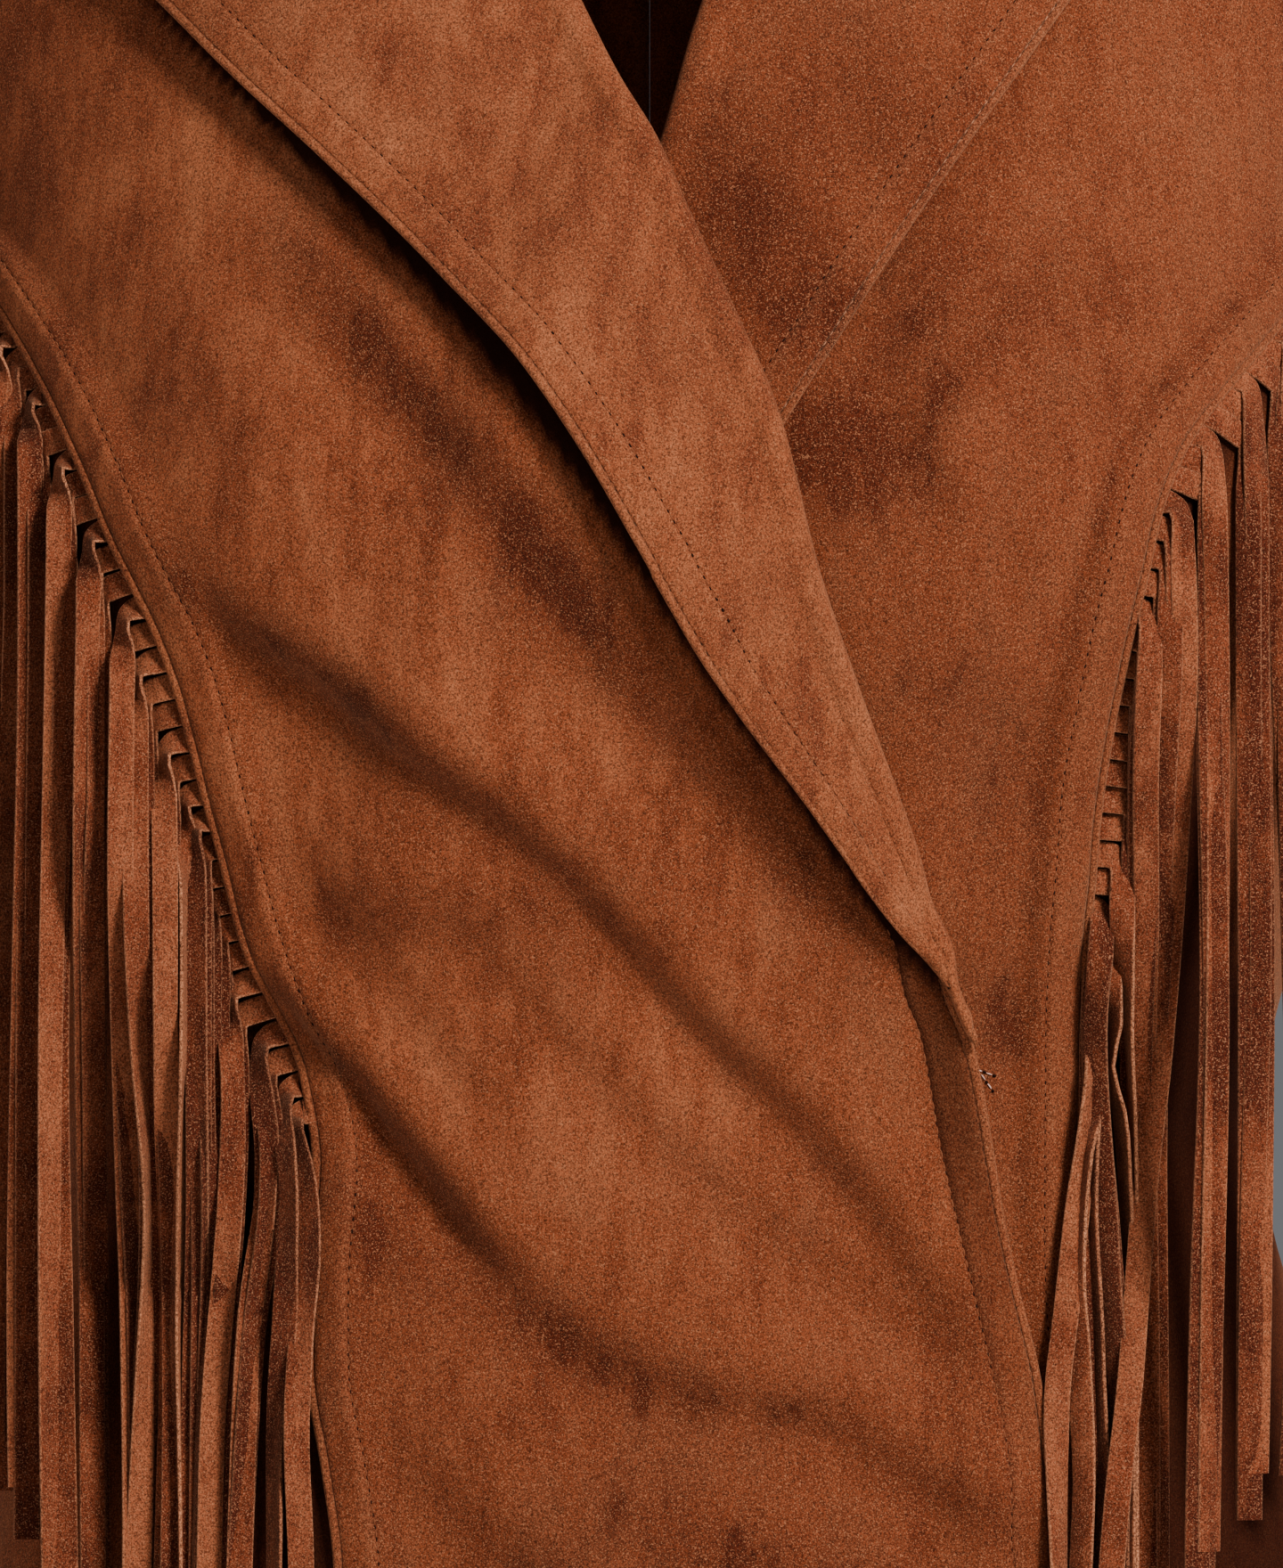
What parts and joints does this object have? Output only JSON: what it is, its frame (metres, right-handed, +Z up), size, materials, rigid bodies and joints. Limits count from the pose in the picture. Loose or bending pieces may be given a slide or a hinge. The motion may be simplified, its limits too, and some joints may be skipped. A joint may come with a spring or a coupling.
{
  "type": "fringed buckskin jacket",
  "caption": "Fitted suede jacket, worn and wrapped over: wide notched lapels, princess seams with long hanging fringe, hollow body and sleeves.",
  "frame": {"origin": "midway between the two points where the shoulder seams meet the neck", "axes": "+Z is up, the jacket faces -Y, and +X is to the wearer's left"},
  "size_m": [0.721, 0.2855, 0.6866],
  "materials": {
    "front_right": "brushed suede nap",
    "front_left": "brushed suede nap",
    "back_right": "brushed suede nap",
    "back_left": "brushed suede nap",
    "lapel_right": "brushed suede nap",
    "lapel_left": "brushed suede nap",
    "side_front_right": "brushed suede nap",
    "side_front_left": "brushed suede nap",
    "sleeve_right": "brushed suede nap",
    "sleeve_left": "brushed suede nap",
    "fringe_right": "brushed suede nap",
    "fringe_left": "brushed suede nap",
    "collar": "brushed suede nap"
  },
  "bodies": {
    "root": {"front_right": "front_right", "front_left": "front_left", "back_right": "back_right", "back_left": "back_left", "lapel_right": "lapel_right", "lapel_left": "lapel_left", "side_front_right": "side_front_right", "side_front_left": "side_front_left", "sleeve_right": "sleeve_right", "sleeve_left": "sleeve_left", "fringe_right": "fringe_right", "fringe_left": "fringe_left", "collar": "collar"}
  },
  "joints": []
}
